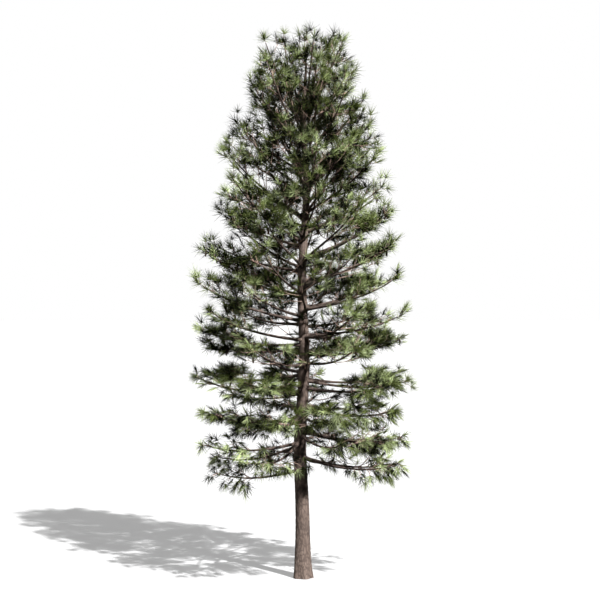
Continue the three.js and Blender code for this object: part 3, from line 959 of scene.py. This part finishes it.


# Each piece holds the tufts of one green in one half of the tree's height. The near-black ones, painted
# shade, lie mostly inside.
ends = np.array(tuft_ends)
ways = np.array(tuft_ways)
crown_edge = np.array([crown_radius(z) for z in ends[:, 2]])
outward = np.clip(np.hypot(ends[:, 0], ends[:, 1]) / np.maximum(crown_edge, NARROWEST_CROWN), 0, 1)
# Tufts deeper in the crown are more likely near-black, which paints the crown's inner shade into the needles.
chances = lerp(np.array(INNER_CHANCES), np.array(OUTER_CHANCES), outward[:, None] ** 2)
shade_of = (rng.random((len(ends), 1)) > np.cumsum(chances, axis=1)).sum(axis=1).clip(0, len(SHADES) - 1)
middle = np.median(ends[:, 2])
for number, (shade, colour) in enumerate(SHADES.items()):
    finish = make_needle_finish(shade, colour)
    for part, held in (("low", ends[:, 2] < middle), ("high", ends[:, 2] >= middle)):
        chosen = held & (shade_of == number)
        tufts = grow_needles(ends[chosen], ways[chosen], outward[chosen])
        needles = joined_piece(f"needles_{shade}_{part}", [tufts])
        needles.data.materials.append(finish)
        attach(needles, "root")
        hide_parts(*foliage_nodes)

# Cones
# Brown woody cones, up to 0.19 m long, that hang from the shoots. Rows of scales stand out round a core,
# each drawn down towards the cone's end. One is modelled, and the rest are copies of several sizes.
CONE_LENGTH = 0.19
CONE_RADIUS = 0.028
CONE_SEGMENTS = 8
CONE_ROWS = 9
CONE_TWIST = 1.3
CONE_WIDTH_AT_TOP = 1.1
CONE_WIDTH_AT_END = 0.72
CONE_SCALE_EDGE = 0.0035
CONE_SCALE_RISE = 0.007
CONE_SCALE_DROP = 0.005
CONES = 110
CONE_TILT = 16
CONE_SIZE_LEAST = 0.8
CONES_FROM_Z = 2.6
CONES_TO_Z = 12.5
CONE_SHADES = (
    (0.35, (0.03, 0.018, 0.012)),
    (0.65, (0.1, 0.058, 0.036)),
)

bpy.ops.object.select_all(action="DESELECT")
bpy.ops.mesh.primitive_uv_sphere_add(segments=CONE_SEGMENTS, ring_count=CONE_ROWS, radius=1)
cone = bpy.context.object
cone.name = "cones"
bpy.ops.object.mode_set(mode="EDIT")
bpy.ops.mesh.select_all(action="SELECT")
bpy.ops.transform.resize(value=(CONE_RADIUS, CONE_RADIUS, CONE_LENGTH / 2))
bpy.ops.object.mode_set(mode="OBJECT")
for vertex in cone.data.vertices:
    down = 0.5 - vertex.co.z / CONE_LENGTH
    turn = CONE_TWIST * down
    width = lerp(CONE_WIDTH_AT_TOP, CONE_WIDTH_AT_END, down)
    x = vertex.co.x * width
    y = vertex.co.y * width
    vertex.co.x = x * math.cos(turn) - y * math.sin(turn)
    vertex.co.y = x * math.sin(turn) + y * math.cos(turn)
    vertex.co.z -= CONE_LENGTH / 2
bpy.ops.object.mode_set(mode="EDIT")
bpy.ops.mesh.select_all(action="DESELECT")
bpy.ops.mesh.select_mode(type="FACE")
bpy.ops.object.mode_set(mode="OBJECT")
for face in cone.data.polygons:
    face.select = len(face.vertices) == 4
bpy.ops.object.mode_set(mode="EDIT")
bpy.ops.mesh.inset(thickness=CONE_SCALE_EDGE, depth=CONE_SCALE_RISE, use_individual=True)
bpy.ops.transform.translate(value=(0, 0, -CONE_SCALE_DROP))
bpy.ops.mesh.select_all(action="SELECT")
bpy.ops.mesh.quads_convert_to_tris()
bpy.ops.object.mode_set(mode="OBJECT")
cone_corners = np.array([vertex.co for vertex in cone.data.vertices])
cone_triangles = np.array([face.vertices[:] for face in cone.data.polygons])
bpy.data.objects.remove(cone)

hangers = shoot_paths[:, SHOOT_POINTS // 2]
in_reach = np.flatnonzero((hangers[:, 2] > CONES_FROM_Z) & (hangers[:, 2] < CONES_TO_Z))
cone_parts = []
for hanger in hangers[rng.choice(in_reach, CONES, replace=False)]:
    turn = 2 * math.pi * rng.random()
    tilt = math.radians(CONE_TILT) * rng.random()
    size = lerp(CONE_SIZE_LEAST, 1, rng.random())
    spin = np.array([[math.cos(turn), -math.sin(turn), 0], [math.sin(turn), math.cos(turn), 0], [0, 0, 1]])
    lean = np.array([[1, 0, 0], [0, math.cos(tilt), -math.sin(tilt)], [0, math.sin(tilt), math.cos(tilt)]])
    cone_parts.append((hanger + size * cone_corners @ (spin @ lean).T, cone_triangles))
cones = joined_piece("cones", cone_parts)
cone_finish = make_wood("woody_cone_scales", CONE_SHADES, scale=30, stretch=1, roughness=0.75, specular=0.5)
cones.data.materials.append(cone_finish)
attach(cones, "root")
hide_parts(*foliage_nodes)

# Studio
# A pale level floor under a white sky, one sun from the front right as high as the photo's, two soft fills
# from behind and from the left, and a long lens at half the tree's height.
CAMERA_PLACE = (-0.08, -38.6, 7.56)
CAMERA_LENS = 85
CAMERA_REACH = 2000
SUN_POWER = 11
SUN_SOFTNESS = 1
SKY_LIGHT = 0.03
FLOOR_WHITENESS = 0.33
FLOOR_GLOW = 0.26
FLOOR_BOUNCE = 0.02
FILL_FROM = (-0.35, 0.94)
FILL_HEIGHT = 30
FILL_POWER = 1.8
FILL_SOFTNESS = 50
SIDE_FROM = (-0.9, -0.44)
SIDE_HEIGHT = 12
SIDE_POWER = 1
FLOOR_SIZE = 900

camera = bpy.data.objects.new("camera", bpy.data.cameras.new("camera"))
camera.data.lens = CAMERA_LENS
camera.data.clip_end = CAMERA_REACH
camera.location = CAMERA_PLACE
camera.rotation_euler = (math.radians(90), 0, 0)
bpy.context.scene.collection.objects.link(camera)
bpy.context.scene.camera = camera

bpy.ops.object.select_all(action="DESELECT")
bpy.ops.mesh.primitive_plane_add(size=FLOOR_SIZE)
floor = bpy.context.object
floor.name = "floor"
paint, tree, shader = new_material("pale_floor")
seen = add_node(tree, "ShaderNodeLightPath").outputs["Is Camera Ray"]
bounce = (FLOOR_BOUNCE, FLOOR_BOUNCE, FLOOR_BOUNCE, 1)
whiteness = mix_colours(tree, seen, bounce, (FLOOR_WHITENESS, FLOOR_WHITENESS, FLOOR_WHITENESS, 1))
glow = add_node(tree, "ShaderNodeMath", {0: seen, 1: FLOOR_GLOW}, operation="MULTIPLY")
tree.links.new(whiteness, shader.inputs["Base Color"])
tree.links.new(glow.outputs[0], shader.inputs["Emission Strength"])
shader.inputs["Emission Color"].default_value = (1, 1, 1, 1)
shader.inputs["Roughness"].default_value = 1
shader.inputs["Specular IOR Level"].default_value = 0
floor.data.materials.append(paint)


def add_sun(name, power, softness, origin, height):
    """A sun that stands over its origin, a level direction from the tree, at a height in degrees."""
    light = bpy.data.objects.new(name, bpy.data.lights.new(name, "SUN"))
    light.data.energy = power
    light.data.angle = math.radians(softness)
    flat = math.cos(math.radians(height))
    way = Vector((-origin[0] * flat, -origin[1] * flat, -math.sin(math.radians(height))))
    light.rotation_euler = way.to_track_quat("-Z", "Y").to_euler()
    bpy.context.scene.collection.objects.link(light)


add_sun("sun", SUN_POWER, SUN_SOFTNESS, SUN_FROM, SUN_HEIGHT)
add_sun("fill", FILL_POWER, FILL_SOFTNESS, FILL_FROM, FILL_HEIGHT)
add_sun("side", SIDE_POWER, FILL_SOFTNESS, SIDE_FROM, SIDE_HEIGHT)

world = bpy.data.worlds.new("white_sky")
world.use_nodes = True
sky = world.node_tree.nodes["Background"]
seen = add_node(world.node_tree, "ShaderNodeLightPath").outputs["Is Camera Ray"]
strength = add_node(
    world.node_tree, "ShaderNodeMapRange", {"Value": seen, "To Min": SKY_LIGHT, "To Max": 1.0}
)
sky.inputs["Color"].default_value = (1, 1, 1, 1)
world.node_tree.links.new(strength.outputs["Result"], sky.inputs["Strength"])
bpy.context.scene.world = world
bpy.context.scene.view_settings.view_transform = "Standard"
